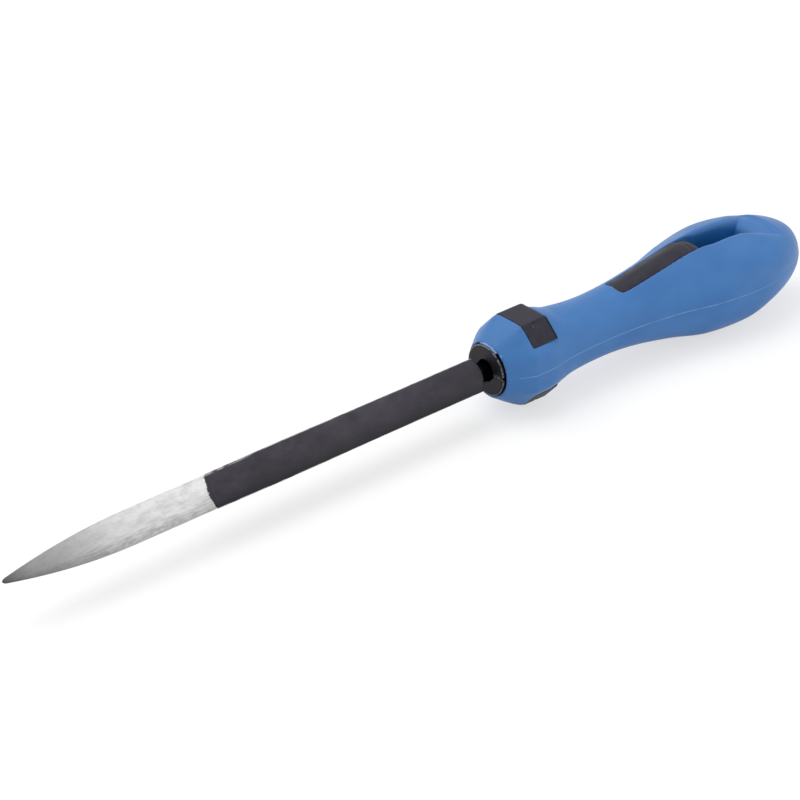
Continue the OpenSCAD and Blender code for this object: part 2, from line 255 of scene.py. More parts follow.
def makeRubber(name, look, isSeam=False):
    mat, tree, shader, place = newFinish(name)
    tone = use(tree, patchGroup, Place=place, Size=look["cloudSize"], Stretch=1.6, From=0.3, To=0.7)
    colour = mixOf(tree, tone, look["deep"], look["light"])
    fleck = use(tree, patchGroup, Place=place, Size=look["fleckSize"], From=0.6, To=0.75)
    colour = mixOf(tree, times(tree, fleck, look["fleckShare"]), colour, look["rubbed"])
    if isSeam:
        pale = use(tree, patchGroup, Place=place, Size=look["seamSize"], Stretch=2.0, From=0.3, To=0.55)
        pale = mathOf(tree, "MULTIPLY_ADD", pale, look["seamSwing"], c=look["seamLeast"])
        x = put(tree, "ShaderNodeSeparateXYZ", Vector=place).outputs["X"]
        pale = times(tree, pale, between(tree, x, *look["seamFade"], 1.0, 0.1))
        colour = mixOf(tree, pale, colour, look["seam"])
    else:
        rub = use(tree, rubGroup, Place=place, Size=look["rubSize"], Cover=0.7)
        colour = mixOf(tree, times(tree, rub, look["rubShare"]), colour, look["rubbed"])
        # painted shade: the marked inside of the hang hole turns deep blue
        colour = mixOf(tree, marked(tree, "paintedShade"), colour, look["paintedShade"])
    feed(tree, shader.inputs["Base Color"], colour)
    shader.inputs["Sheen Weight"].default_value = look["dust"]
    shader.inputs["Sheen Roughness"].default_value = look["dustRough"]
    handled = use(tree, patchGroup, Place=place, Size=look["handledSize"], Detail=4.0)
    feed(tree, shader.inputs["Roughness"], between(tree, handled, 0, 1, *look["roughness"]))
    shader.inputs["Specular IOR Level"].default_value = look["gloss"]
    bumpOf(tree, shader, use(tree, grainGroup, Place=place, Size=look["grainSize"]), look["grainDepth"])
    return mat


plasticLook = {
    # the last colour in this row is painted shade for bores, gaps and shaded edges
    "black": seen(50, 49, 59), "worn": seen(57, 56, 67), "rubbed": seen(128, 128, 134), "paintedShade": seen(5, 5, 7),
    "toneSize": 3.2, "streakSize": 0.14, "streakShare": 0.25, "rubSize": 2.0, "rubCover": 0.3,
    "gloss": 0.16, "roughness": (0.36, 0.5), "grainSize": 0.22, "grainDepth": 0.012,
}
colletLook = {**plasticLook, "black": seen(32, 32, 38), "worn": seen(44, 43, 50), "rubSize": 0.8, "rubCover": 0.95}


def makePlastic(name, look):
    mat, tree, shader, place = newFinish(name)
    tone = use(tree, patchGroup, Place=place, Size=look["toneSize"], Detail=5.0)
    colour = mixOf(tree, tone, look["black"], look["worn"])
    streak = use(tree, patchGroup, Place=place, Size=look["streakSize"], Stretch=30.0, From=0.66, To=0.8)
    colour = mixOf(tree, times(tree, streak, look["streakShare"]), colour, look["rubbed"])
    rub = use(tree, rubGroup, Place=place, Size=look["rubSize"], Cover=look["rubCover"])
    colour = mixOf(tree, rub, colour, look["rubbed"])
    paintedShade = marked(tree, "paintedShade")                           # painted shade: marked places go near black and lose their sheen
    feed(tree, shader.inputs["Base Color"], mixOf(tree, paintedShade, colour, look["paintedShade"]))
    feed(tree, shader.inputs["Metallic"], paintedShade)
    feed(tree, shader.inputs["Roughness"], between(tree, tone, 0, 1, *look["roughness"]))
    shader.inputs["Specular IOR Level"].default_value = look["gloss"]
    bumpOf(tree, shader, use(tree, grainGroup, Place=place, Size=look["grainSize"]), look["grainDepth"])
    return mat


steelLook = {
    # mm from the nose: where the grinding starts, how far its line bows and wanders, where the tang's painted
    # shadow begins
    "border": -121.6, "borderSoft": 0.12, "bow": 1.1, "wander": 0.5, "teeth": 0.4, "tangShadowFrom": (-5.4, -4.9),
    "scale": seen(48, 45, 54), "scaleWorn": seen(84, 80, 90), "mottleShare": 0.5, "broadShare": 0.45,
    # the tang colour is painted shadow, near black
    "tang": seen(4, 4, 5), "corner": seen(172, 172, 176),
    # grey of the bright steel along the blade, a painted reflection that dims towards the point; painted shade by
    # which both finishes dim from one edge of a face to the other
    "along": ((-200, 118), (-196, 158), (-190, 193), (-182, 203), (-170, 217), (-158, 224), (-146, 222)),
    "brightShadeAcross": ((-0.6, 255), (0, 245), (0.35, 241), (0.65, 222), (0.95, 203)),
    "scaleShadeAcross": ((-0.9, 255), (-0.3, 236), (0.3, 220), (0.6, 195), (0.9, 150)),
    "dull": seen(205, 205, 204), "cloudShare": 0.28, "lineShare": 0.15, "speckShare": 0.22,
    "stain": seen(140, 140, 138), "stainIn": (-170, -160), "stainOut": (-138, -128), "stainShare": 0.7,
    "scratchShare": (0.12, 0.7),                          # from the middle of a face to its lower edge
    "gloss": 0.28, "scaleRough": (0.44, 0.6), "brightRough": (0.3, 0.38), "grainDepth": 0.01,
}


def greys(tree, value, steps):
    low, high = steps[0][0], steps[-1][0]
    n = put(tree, "ShaderNodeValToRGB")
    feed(tree, n.inputs[0], mathOf(tree, "DIVIDE", mathOf(tree, "SUBTRACT", value, low), high - low))
    stops = n.color_ramp.elements
    for at, grey in steps:
        stop = stops[0] if at == low else stops[-1] if at == high else stops.new((at - low) / (high - low))
        stop.color = seen(grey, grey, grey)
    return n.outputs[0]


def makeSteel(name, look):
    mat, tree, shader, place = newFinish(name)
    x = put(tree, "ShaderNodeSeparateXYZ", Vector=place).outputs["X"]
    across = marked(tree, "across")                       # -1 and 1 at the edges of a face
    square = times(tree, across, across)
    wander = use(tree, patchGroup, Place=place, Size=2.6, Detail=2.0, From=0.2, To=0.8)
    teeth = use(tree, patchGroup, Place=place, Size=0.3, Stretch=5.0, Detail=1.0, From=0.3, To=0.7)
    edge = mathOf(tree, "SUBTRACT", x, times(tree, square, look["bow"]))
    edge = mathOf(tree, "SUBTRACT", edge, times(tree, wander, look["wander"]))
    edge = mathOf(tree, "SUBTRACT", edge, times(tree, teeth, look["teeth"]))
    border, soft = look["border"], look["borderSoft"]
    ground = between(tree, edge, border - soft, border + soft, 1.0, 0.0)

    mottle = use(tree, patchGroup, Place=place, Size=3.4, Stretch=1.6, Detail=6.0, From=0.3, To=0.75)
    broad = use(tree, patchGroup, Place=place, Size=13.0, Stretch=1.4, From=0.3, To=0.7)
    wear = mathOf(tree, "MULTIPLY_ADD", mottle, look["mottleShare"], c=times(tree, broad, look["broadShare"]))
    black = mixOf(tree, wear, look["scale"], look["scaleWorn"])
    # painted shade: the scale dims from one edge of a face to the other
    black = mixOf(tree, 1.0, black, greys(tree, across, look["scaleShadeAcross"]), "MULTIPLY")
    rub = use(tree, rubGroup, Place=place, Size=5.0, Cover=0.75)
    black = mixOf(tree, rub, black, look["corner"])
    # painted shadow: behind the shoulder the tang goes near black and reflects nothing
    tang = between(tree, x, *look["tangShadowFrom"])
    black = mixOf(tree, tang, black, look["tang"])

    # painted reflection: the bright steel's grey changes along the blade as its curve turns away
    white = greys(tree, x, look["along"])
    cloud = use(tree, patchGroup, Place=place, Size=2.6, Stretch=2.0, Detail=5.0, From=0.3, To=0.75)
    lines = use(tree, patchGroup, Place=place, Size=0.2, Stretch=45.0, Detail=3.0, From=0.3, To=0.7)
    specks = use(tree, patchGroup, Place=place, Size=0.6, Stretch=2.4, Detail=4.0, From=0.35, To=0.75)
    marks = times(tree, cloud, look["cloudShare"])
    marks = mathOf(tree, "MULTIPLY_ADD", lines, look["lineShare"], c=marks)
    marks = mathOf(tree, "MULTIPLY_ADD", specks, look["speckShare"], c=marks)
    white = mixOf(tree, marks, white, look["dull"], "MULTIPLY")
    # painted shade: the bright steel dims from one edge of a face to the other
    white = mixOf(tree, 1.0, white, greys(tree, across, look["brightShadeAcross"]), "MULTIPLY")
    run = times(tree, between(tree, x, *look["stainIn"]), between(tree, x, *look["stainOut"], 1.0, 0.0))
    band = times(tree, between(tree, across, 0.3, 0.75), between(tree, across, 0.88, 0.97, 1.0, 0.0))
    blots = use(tree, patchGroup, Place=place, Size=1.4, Stretch=1.6, Detail=6.0, From=0.4, To=0.68)
    stain = times(tree, times(tree, times(tree, run, band), blots), look["stainShare"])
    scratches = use(tree, patchGroup, Place=place, Size=0.42, Stretch=15.0, Detail=4.0, From=0.5, To=0.66)
    scratches = times(tree, scratches, between(tree, across, 0.0, 0.8, *look["scratchShare"]))
    white = mixOf(tree, mathOf(tree, "MAXIMUM", stain, scratches), white, look["stain"])

    feed(tree, shader.inputs["Base Color"], mixOf(tree, ground, black, white))
    feed(tree, shader.inputs["Metallic"], mathOf(tree, "MAXIMUM", ground, tang))
    shader.inputs["Specular IOR Level"].default_value = look["gloss"]
    scaleRough = between(tree, mottle, 0, 1, *look["scaleRough"])
    brightRough = between(tree, cloud, 0, 1, *look["brightRough"])
    feed(tree, shader.inputs["Roughness"], blend(tree, ground, scaleRough, brightRough))
    skin = use(tree, grainGroup, Place=place, Size=0.35, Stretch=1.5)
    bumpOf(tree, shader, blend(tree, ground, skin, lines), look["grainDepth"])
    return mat


gripRubber = makeRubber("gripRubber", rubberLook)
seamRubber = makeRubber("seamRubber", rubberLook, isSeam=True)
padPlastic = makePlastic("padPlastic", plasticLook)
colletPlastic = makePlastic("colletPlastic", colletLook)
bladeSteel = makeSteel("bladeSteel", steelLook)
print("finishes made")


# soft shapes are distance fields: a field is below zero inside the piece
def softMax(a, b, k):
    return np.maximum(a, b) + np.maximum(k - np.abs(a - b), 0) ** 2 / (4 * k)


def softMin(a, b, k):
    return -softMax(-a, -b, k)


def meshOf(name, field, low, high, step):
    low, high = np.array(low, float), np.array(high, float)
    axes = (np.arange(l, h + step, step) for l, h in zip(low, high))
    x, y, z = np.meshgrid(*axes, indexing="ij", sparse=True)
    grid = openvdb.FloatGrid(100.0)
    grid.copyFromArray(np.ascontiguousarray(field(x, y, z), dtype=np.float32))
    spots, quads = grid.convertToQuads(0.0)
    p = spots.astype(float) * step + low
    for _ in range(3):                                    # settle each point on the true surface
        d = field(*p.T)
        g = np.stack([field(*(p + off).T) - d for off in np.eye(3) * 0.02], axis=1) / 0.02
        move = (d / np.maximum((g * g).sum(1), 0.1))[:, None] * g
        p -= np.clip(move, -step / 2, step / 2)
    mesh = bpy.data.meshes.new(name)
    mesh.from_pydata(p.tolist(), [], quads.tolist())
    a, b, c = (p[quads[:, i]] for i in range(3))
    if np.einsum("ij,ij->i", a, np.cross(b, c)).sum() < 0:
        mesh.flip_normals()
    return mesh, p


def markOn(mesh, name, values):
    marks = mesh.attributes.new(name, "FLOAT", "POINT")
    marks.data.foreach_set("value", np.ascontiguousarray(values, np.float32))


gripShape = {
    "length": 141, "closeLength": 37, "closeFullness": (2.1, 3.0, 1.9), "fullBottom": 2.3,
    "lipRadius": 10.1, "lipDrop": 0.5, "chamferEnd": 9.6, "chamferBulge": 1.36,
    "flowStart": 14.0, "flowLength": 10.0, "headApothem": 15.5, "edgeSharpness": (10, 36), "inset": 0.12,
    # distance behind the nose, half width, rise above and drop below the axis, fullness of the upper half
    "sections": [
        (13, 15.5, 15.5, 15.5, 2), (22, 14.2, 15.1, 13.4, 2), (30, 13.27, 12.2, 11.25, 2),
        (46, 12.7, 10.3, 10.7, 1.92), (60, 13.58, 11.65, 11.87, 1.66), (76, 16.3, 14.6, 14.7, 1.48),
        (90, 20.21, 16.15, 17.7, 1.62), (106, 22.1, 15.6, 17.9, 2.05), (118.35, 22.1, 14.6, 15.8, 2.2),
        (141, 21.3, 12.9, 13.4, 2.2),
    ],
}


# smooth curve through one column of the sections
def gripCurve(x, column):
    table = np.array(gripShape["sections"], float)
    at, s = table[:, 0], table[:, column]
    slope = np.empty_like(s)
    slope[1:-1] = (s[2:] - s[:-2]) / (at[2:] - at[:-2])
    slope[[0, -1]] = (s[1] - s[0]) / (at[1] - at[0]), (s[-1] - s[-2]) / (at[-1] - at[-2])
    i = np.clip(np.searchsorted(at, x, side="right") - 1, 0, len(at) - 2)
    d = at[i + 1] - at[i]
    t = np.clip((x - at[i]) / d, -0.5, 1)
    return ((2 * t ** 3 - 3 * t ** 2 + 1) * s[i] + (t ** 3 - 2 * t ** 2 + t) * d * slope[i]
            + (3 * t ** 2 - 2 * t ** 3) * s[i + 1] + (t ** 3 - t ** 2) * d * slope[i + 1])


def halfSizes(x):
    u = np.clip((x - gripShape["length"]) / gripShape["closeLength"] + 1, 0, 1)
    return [gripCurve(x, column) * np.maximum(1 - u ** p, 0) ** (1 / p)
            for column, p in enumerate(gripShape["closeFullness"], 1)]


def skinRadius(x, c, s, above):
    g = gripShape
    wide, rise, drop = (np.maximum(v, 1e-3) for v in halfSizes(x))
    full = np.where(above, gripCurve(x, 4), g["fullBottom"])
    oval = ((c / wide) ** full + (s / np.where(above, rise, drop)) ** full) ** (-1 / full)
    u = np.clip(x / g["chamferEnd"], 0, 1)
    blunt, sharp = g["edgeSharpness"]
    q = blunt + (sharp - blunt) * u * u                   # the eight edges of the head sharpen away from the lip
    half = math.sqrt(0.5)
    sides = c ** q + s ** q + ((c + s) * half) ** q + (np.abs(c - s) * half) ** q
    octagon = g["headApothem"] * sides ** (-1 / q)
    v = 1 - (1 - u) ** g["chamferBulge"]
    f = np.clip((x - g["flowStart"]) / g["flowLength"], 0, 1)
    f = f * f * (3 - 2 * f)
    lip = g["lipRadius"] + np.where(above, 0, g["lipDrop"]) * s
    return (lip * (1 - v) + octagon * v) * (1 - f) + oval * f - g["inset"]


def skinField(x, y, z):
    r = np.sqrt(y * y + z * z) + 1e-6
    c, s, above = np.abs(y) / r, np.abs(z) / r, z >= 0
    radius = skinRadius(x, c, s, above)
    slope = (skinRadius(x + 0.2, c, s, above) - skinRadius(x - 0.2, c, s, above)) / 0.4
    d = (r - radius) / np.sqrt(1 + slope ** 2)
    return np.maximum(d, x - gripShape["length"] + gripShape["inset"])


holeShape = {
    "frontBar": 91.4, "frontRun": 7.8, "rearBar": 127.0, "rearRun": 7.6, "crease": 0.1, "corner": 0.9,
    "shadeRise": 1.2, "shadeDepth": 7, "shadeReach": 3.5,
    # distance behind the nose, half width of the hole and softness of its rim
    "walls": ((91, 5.1, 0.5), (95, 5.1, 0.6), (100, 5, 2.3), (107, 4.65, 2.6), (113, 4.7, 2.8), (117, 5.2, 4),
              (121, 5.6, 6), (124, 6.4, 6.4), (127, 7.8, 5), (129.5, 8.6, 1.6)),
}


# each end of the hole is a rounded bar whose top follows the crown of the handle
def barField(x, y, z, at, run):
    wide, rise, drop = (float(v) for v in halfSizes(at))
    full = np.where(z > 0, float(gripCurve(at, 4)), gripShape["fullBottom"])
    crown = np.maximum(1 - (np.abs(y) / wide) ** full, 0.01) ** (1 / full)
    tall = np.where(z > 0, rise, drop) * crown - holeShape["crease"]
    k = np.sqrt(((x - at) / run) ** 2 + (z / tall) ** 2) + 1e-6
    return (k - 1) * k / (np.sqrt(((x - at) / run ** 2) ** 2 + (z / tall ** 2) ** 2) + 1e-6)


def holeField(x, y, z):
    h = holeShape
    at, half, _ = zip(*h["walls"])
    side = np.abs(y) - np.interp(x, at, half)
    bars = np.minimum(barField(x, y, z, h["frontBar"], h["frontRun"]),
                      barField(x, y, z, h["rearBar"], h["rearRun"]))
    ends = np.maximum(h["frontBar"] - x, x - h["rearBar"])
    return softMax(np.maximum(-bars, ends), side, h["corner"])


padShape = {
    "start": 10.2, "length": 11.2, "level": 8.95, "round": 3.0, "gap": 0.06, "edge": 0.4,
    "drop": (0.3, 1.0),                                   # how far the rear end rolls down, above and under
    "gate": (15.2, -6.9, 15.02), "gateRadius": 0.62, "scuff": (14.3, -7.7, 14.2), "scuffRadius": 1.2,
}


def padBlock(x, z, gap):
    middle = padShape["start"] + padShape["length"] / 2
    return np.maximum(np.abs(x - middle) - padShape["length"] / 2, padShape["level"] - np.abs(z)) + gap


panelShape = {
    "start": 57.0, "end": 99.7, "halfWidth": (4.72, 5.16), "corner": 2.2, "root": 2.75, "sink": 0.16, "gap": 0.05,
    "roll": 2.4,
}


def panelBlock(x, y, z, gap):
    p = panelShape
    half = (p["end"] - p["start"]) / 2
    front, rear = p["halfWidth"]
    across = np.abs(y) - front - (rear - front) * (x - p["start"]) / (2 * half) + p["corner"]
    along = np.abs(x - p["start"] - half) - half + p["corner"]
    plan = np.hypot(np.maximum(across, 0), np.maximum(along, 0)) + np.minimum(np.maximum(across, along), 0)
    return np.maximum(plan - p["corner"], p["root"] - z) + gap


noseShape = {"ringRadius": 9.4, "gap": 0.25, "sleeveEnd": 10.2, "burr": (0.1, -7.1, 7.6), "burrRadius": 0.45}


def gripField(x, y, z):
    r = np.sqrt(y * y + z * z)
    d = softMax(skinField(x, y, z), -x, 0.3)
    n = noseShape
    bx, by, bz = n["burr"]
    burr = np.sqrt((x - bx) ** 2 + (y - by) ** 2 + (z - bz) ** 2) - n["burrRadius"]
    d = softMin(d, burr, 0.3)
    at, _, soft = zip(*holeShape["walls"])
    d = softMax(d, -holeField(x, y, z), np.interp(x, at, soft))
    d = softMax(d, -padBlock(x, z, 0), 0.2)
    d = softMax(d, -panelBlock(x, y, z, 0), 0.25)
    bore = np.maximum(r - n["ringRadius"] - n["gap"], x - n["sleeveEnd"])
    return softMax(d, -bore, 0.3)


def makeGrip():
    h = holeShape
    mesh, p = meshOf("softGrip", gripField, (-1, -23.5, -19), (142, 23.5, 17.5), 0.45)
    x, y, z = p.T
    burr = np.linalg.norm(p - np.array(noseShape["burr"]), axis=1)
    markOn(mesh, "rub", np.exp(-(burr / 0.6) ** 2))
    depth = np.where(x > 90, -skinField(x, y, z), 0)      # painted shade: the hole gets darker below its rims
    ramp = barField(x, y, z, h["rearBar"], h["rearRun"])
    beside = np.clip(1 - holeField(x, y, z) / h["shadeReach"], 0, 1) * np.clip(ramp / 1.2, 0, 1)
    markOn(mesh, "paintedShade", np.clip((depth + h["shadeRise"]) / h["shadeDepth"], 0, 0.95) * beside)
    return addPiece("softGrip", mesh, gripRubber, "soft_grip")


# faces through a row of n rings of m points each, capped at both ends unless the row closes on itself
def tubeFaces(n, m, closed=False, first=0):
    faces = []
    for i in range(n if closed else n - 1):
        a, b = first + i * m, first + (i + 1) % n * m
        faces += [(a + k, a + (k + 1) % m, b + (k + 1) % m, b + k) for k in range(m)]
    if not closed:
        last = first + (n - 1) * m
        faces += [tuple(range(first, first + m))[::-1], tuple(range(last, last + m))]
    return faces


def tubeMesh(name, rings, closed=False):
    mesh = bpy.data.meshes.new(name)
    spots = [tuple(v) for ring in rings for v in ring]
    mesh.from_pydata(spots, [], tubeFaces(len(rings), len(rings[0]), closed))
    return mesh


# an outline of distances and radii, turned about the axis of the tool
def turned(outline, t):
    return [(x, r * math.cos(t), r * math.sin(t)) for x, r in outline]


flashShape = {
    "arc": (66, 122), "lead": 9,                          # degrees
    "inner": 9.52, "top": 9.74, "outer": 9.95, "root": 0.4, "low": 0.3, "proud": 0.85,
}


# moulding flash: a ragged strip of rubber left standing beside the ring
def makeFlash():
    f = flashShape
    rings = []
    for turn in np.linspace(*f["arc"], 90):
        rise = min(1, (turn - f["arc"][0]) / f["lead"]) ** 0.5
        rise *= 0.85 + 0.25 * noise.noise(Vector((turn / 2.3, 4, 0)))
        front = f["low"] - (f["low"] + f["proud"]) * rise
        outline = [(f["root"], f["inner"]), (front, f["inner"]), (front, f["top"]), (f["root"], f["outer"])]
        rings.append(turned(outline, math.radians(turn)))
    mesh = tubeMesh("noseFlash", rings)
    # painted highlight: the whole strip is marked fully rubbed, so it shows pale all along
    markOn(mesh, "rub", np.ones(len(mesh.vertices)))
    return addPiece("noseFlash", mesh, gripRubber, "soft_grip")


seamShape = {"start": 3.8, "halfWidth": 0.16, "height": 0.07}


# the mould's parting line: a fine bead round the handle at mid height
def makeSeam():
    g = gripShape
    close = g["length"] - g["closeLength"]
    xs = np.concatenate([np.linspace(seamShape["start"], close, 150),
                         close + g["closeLength"] * np.sin(np.linspace(0.02, 1.56, 60))])
    side = skinRadius(xs, np.ones_like(xs), np.zeros_like(xs), np.ones_like(xs, bool))
    xs = np.minimum(xs, g["length"] - g["inset"])
    path = np.concatenate([np.stack([xs, -side], 1), np.stack([xs, side], 1)[::-1]])
    way = np.gradient(path, axis=0)
    out = np.stack([way[:, 1], -way[:, 0]], 1) / np.linalg.norm(way, axis=1)[:, None]
    w, h = seamShape["halfWidth"], seamShape["height"]
    outline = [(-0.1, -w), (h * 0.3, -w * 0.8), (h, -w * 0.25), (h, w * 0.25), (h * 0.3, w * 0.8), (-0.1, w)]
    rings = [[(*(spot + off * o), z) for o, z in outline] for spot, off in zip(path, out)]
    return addPiece("gripSeam", tubeMesh("gripSeam", rings), seamRubber, "soft_grip")


# the hard core shows in four places: two roll-stop pads, the label panel and the sleeve behind the ring
def padField(side):
    def field(x, y, z):
        z = z * side
        p = padShape
        drop = p["drop"][0 if side > 0 else 1]
        back = p["start"] + p["length"] - math.sqrt(2 * p["round"] * drop - drop ** 2)
        roll = np.clip(x - back, 0, 2.9)
        a = gripShape["headApothem"] - gripShape["inset"] / 2 - p["round"] + np.sqrt(p["round"] ** 2 - roll ** 2)
        d = softMax(np.abs(z) - a, (np.abs(y) + np.abs(z)) * math.sqrt(0.5) - a, p["edge"])
        d = softMax(d, padBlock(x, z, p["gap"]), p["edge"] / 3)
        gx, gy, gz = p["gate"]
        gate = np.sqrt((x - gx) ** 2 + (y - gy) ** 2 + (z - gz) ** 2) - p["gateRadius"]
        d = softMax(d, -gate, 0.2)
        return np.maximum(d, 1 - z)
    return field


def makePad(name, side):
    end = padShape["start"] + padShape["length"] + 0.6
    z = sorted((side * 8.4, side * 16))
    mesh, p = meshOf(name, padField(side), (padShape["start"] - 0.6, -14, z[0]), (end, 14, z[1]), 0.3)
    flat = np.abs(p[:, 2]) - gripShape["headApothem"]
    slant = (np.abs(p[:, 1]) + np.abs(p[:, 2])) * math.sqrt(0.5) - gripShape["headApothem"]
    middle = padShape["start"] + padShape["length"] / 2
    ends = np.abs(p[:, 0] - middle) - padShape["length"] / 2
    near = np.sort(np.stack([flat, slant, ends]), axis=0)[1]
    edges = np.exp(-(np.minimum(near, 0) / padShape["edge"]) ** 2) * 0.8
    scuff = np.linalg.norm(p - np.array(padShape["scuff"]), axis=1) / padShape["scuffRadius"]
    markOn(mesh, "rub", np.maximum(edges, np.exp(-scuff ** 2) * 0.9))
    # painted shade: the last strip of each pad's rear roll goes dark and loses its sheen
    markOn(mesh, "paintedShade", np.clip((p[:, 0] - end + 1.6) / 0.3, 0, 0.9) * (np.abs(p[:, 1]) > 6.6))
    return addPiece(name, mesh, padPlastic, "handle_core")


def panelField(x, y, z):
    d = softMax(skinField(x, y, z) + panelShape["sink"], panelBlock(x, y, z, panelShape["gap"]), 0.3)
    return softMax(d, -holeField(x, y, z), panelShape["roll"])


def makePanel():
    mesh, p = meshOf("labelPanel", panelField, (56.4, -5.8, 2.2), (100.4, 5.8, 17), 0.35)
    near = panelShape["halfWidth"][1] - np.abs(p[:, 1])
    markOn(mesh, "rub", np.where(p[:, 2] > 8, np.exp(-(near / 0.35) ** 2), 0))
    return addPiece("labelPanel", mesh, padPlastic, "handle_core")


sleeveShape = {
    # distance behind the nose and radius, round the section
    "outline": [(3.05, 7.8), (3.05, 9.4), (3.3, 9.6), (9.9, 9.6),
                (10.15, 9.4), (10.15, 7.8), (9.9, 7.65), (3.3, 7.65)],
    "edge": 0.1,
}


def makeSleeve():
    turns = np.linspace(0, 2 * math.pi, 96, endpoint=False)
    mesh = tubeMesh("coreSleeve", [turned(sleeveShape["outline"], t) for t in turns], closed=True)
    # painted shade: the whole sleeve is near black without sheen, for the shaded gap behind the ring
    markOn(mesh, "paintedShade", np.ones(len(mesh.vertices)))
    piece = addPiece("coreSleeve", mesh, padPlastic, "handle_core")
    piece.modifiers.new("edges", "BEVEL").width = sleeveShape["edge"] / 1000
    return piece


colletShape = {
    "flange": 3.0, "bodyRadius": 7.6, "length": 14.0, "bore": 4.0, "slit": 0.25, "slitDepth": 10.0,
    "bevel": (0.4, 0.7), "edge": 0.2, "lowDarkening": 0.4,
}


def colletField(x, y, z):
    c = colletShape
    r = np.sqrt(y * y + z * z)
    rim = noseShape["ringRadius"]
    d = np.minimum(np.maximum(r - rim, x - c["flange"]), np.maximum(r - c["bodyRadius"], x - c["length"]))
    run, rise = c["bevel"]
    cone = ((r - rim + rise) * run - (x + ringProud) * rise) / math.hypot(run, rise)
    d = softMax(softMax(d, cone, c["edge"]), -ringProud - x, c["edge"])
    d = softMax(d, c["bore"] - r, 0.3)
    slit = np.maximum(np.abs(z) - c["slit"], x - c["slitDepth"])
    return softMax(d, -slit, 0.15)


def makeCollet():
    c = colletShape
    mesh, p = meshOf("noseCollet", colletField, (-1.9, -10.6, -10.6), (14.6, 10.6, 10.6), 0.22)
    x, y, z = p.T
    r = np.hypot(y, z)
    rim = np.exp(-((r - noseShape["ringRadius"] + 0.15) / 0.25) ** 2) * (x < -0.6)
    slit = np.exp(-((np.abs(z) - c["slit"]) / 0.18) ** 2) * (x < -0.9) * (y < 0)
    markOn(mesh, "rub", np.maximum(rim, slit * 0.8))
    # painted shade: the bore and the slit go black, the ring's wall inside the gap nearly black
    hollow = (r < c["bore"] + 0.2) & (x > -0.95) | (np.abs(z) < c["slit"] + 0.1) & (x > -0.9)
    outside = (r > noseShape["ringRadius"] - 0.1) & (x > -0.75)
    lowDarkening = np.clip(0.5 - z / 14, 0, 1) * c["lowDarkening"]        # the face darkens towards the bottom
    markOn(mesh, "paintedShade", np.where(hollow, 1.0, np.maximum(outside * 0.8, lowDarkening)))
    return addPiece("noseCollet", mesh, colletPlastic, "tang_collet")


bladeShape = {
    "length": 200, "shankApothem": 3.5796, "land": 6.859, "groundApothem": 3.4196,
    "groundFrom": -120, "leafFrom": -152, "tipApothem": 0.42, "tipRound": 0.9, "edge": 0.05,
    "shoulder": (-7.3, -4.9), "shoulderEnd": 0.5, "unevenShank": 0.05, "unevenGround": 0.02,
    "belly": (-88, 25, 0.035),                            # place, reach and share by which the shank is fuller
    "tang": (58, 6.2, 4.6, 0.5),                          # length, width, thickness and share left at its end
    # edges are rubbed barer towards the ground part, with a pale strip along one side of each
    "bareFrom": -105, "bareRun": 50, "bareLoss": 0.45, "stripEnd": -92, "stripRun": 18, "stripShare": 0.75,
}


def bladeSection(x):
    b = bladeShape
    if x > b["groundFrom"] + 0.15:
        at, run, share = b["belly"]
        fuller = 1 + share * math.exp(-((x - at) / run) ** 2)
        return b["shankApothem"] * fuller, b["land"] * fuller, b["unevenShank"]
    leaf, tall = b["length"] + b["leafFrom"], b["groundApothem"] - b["tipApothem"]
    bend = (leaf ** 2 + tall ** 2) / (2 * tall)
    run = max(b["leafFrom"] - x, 0)
    a = b["groundApothem"] - bend + math.sqrt(bend ** 2 - run ** 2)
    a *= math.sqrt(1 - min(0.97, max(0, 1 - (x + b["length"]) / b["tipRound"])) ** 2)
    return a, 2 * a - b["edge"] * min(1, a), b["unevenGround"] * min(1, a)


